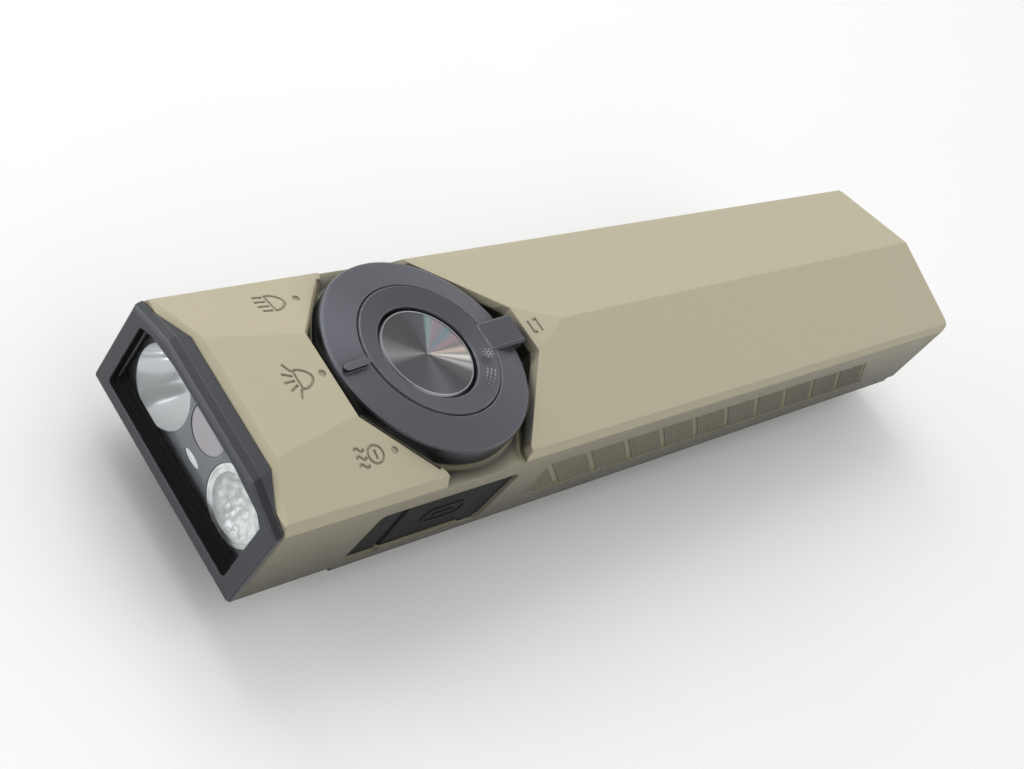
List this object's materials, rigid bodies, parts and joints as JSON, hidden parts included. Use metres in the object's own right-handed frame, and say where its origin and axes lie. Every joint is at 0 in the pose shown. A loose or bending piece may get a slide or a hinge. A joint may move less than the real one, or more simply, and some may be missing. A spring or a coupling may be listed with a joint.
{
  "type": "tactical flashlight",
  "caption": "Flat gable-backed pocket flashlight with a multi-lens front window, a turning selector dial round a push button, a hinged rubber charging-port cover and a pocket clip.",
  "frame": {"origin": "centre of the bounding box's bottom face: midway between lens end and tail, in the plane that the pocket clip's flat tongue lies on", "axes": "-Y towards the lens end, +Y towards the tail, +X towards the charging-port side, +Z towards the dial and button"},
  "size_m": [0.028, 0.129, 0.0219],
  "materials": {
    "shell": "matte tan anodised, fine blasted grain",
    "bezel_metal": "satin dark blue-grey anodised",
    "window": "clear coated glass",
    "black_rubber": "matte",
    "optics_plate": "glossy mid grey",
    "mirror_cup": "bright vacuum-metallised cup",
    "clear_lens": "clear moulded lens with faceted bands",
    "uv_filter": "pinkish filter glass",
    "emitter": "phosphor dome on a white package",
    "brass_parts": "machined",
    "board": "solder-masked laminate",
    "dial_metal": "satin blue-grey anodised, lathe-turned",
    "dial_centre_metal": "dark grey, finely blasted",
    "button_metal": "dark spun metal with circular grain",
    "steel": "plain",
    "magnet": "bright nickel plated",
    "black_plastic": "moulded",
    "cell_foil": "foil pouch",
    "foam": "soft foam",
    "port_rubber": "matte near-black blue silicone",
    "clip_metal": "black coated spring steel",
    "screw_steel": "black-oxide steel"
  },
  "bodies": {
    "housing": {"main_housing": "shell", "rear_cover": "shell", "bezel": "bezel_metal", "front_glass": "window", "glass_gasket": "black_rubber", "optics_plate": "optics_plate", "spot_reflector": "mirror_cup", "flood_lens": "clear_lens", "uv_window": "uv_filter", "aim_lens": "clear_lens", "spot_led": "emitter", "flood_led": "emitter", "uv_led": "emitter", "aim_module": "brass_parts", "led_board": "board", "heat_sink": "brass_parts", "detent_ball": "magnet", "detent_spring": "steel", "button_guide": "black_plastic", "button_spring": "steel", "switch_case": "black_plastic", "driver_board": "board", "board_parts": "black_plastic", "hall_sensors": "black_plastic", "charge_socket": "steel", "battery_cell": "cell_foil", "battery_pad": "foam", "battery_tabs": "steel", "port_cover_anchor": "port_rubber", "pocket_clip": "clip_metal", "clip_screws": "screw_steel", "cover_screws": "screw_steel", "board_screws": "screw_steel"},
    "dial": {"dial_ring": "dial_metal", "dial_face": "dial_centre_metal", "dial_seal": "black_rubber", "dial_retainer": "steel", "selector_magnet": "magnet"},
    "button": {"button_cap": "button_metal", "button_seal": "black_rubber", "button_plunger": "steel", "switch_stem": "black_plastic"},
    "port_flap": {"port_cover": "port_rubber"}
  },
  "joints": [
    {"name": "selector_turn", "type": "hinge", "parent": "housing", "child": "dial", "pos_m": [0, -0.03704, 0.019], "axis": [0, 0, 1], "range_deg": [-42, 42]},
    {"name": "button_press", "type": "slide", "parent": "housing", "child": "button", "axis": [0, 0, -1], "range_m": [0, 0.0008], "stiffness_N_per_m": 1500, "springref_m": -0.0008, "deforming": ["button_spring"]},
    {"name": "port_cover_swing", "type": "hinge", "parent": "housing", "child": "port_flap", "pos_m": [0.01335, -0.0457, 0.011], "axis": [0, 0, -1], "range_deg": [0, 90], "stiffness_Nm_per_rad": 0.0005}
  ]
}
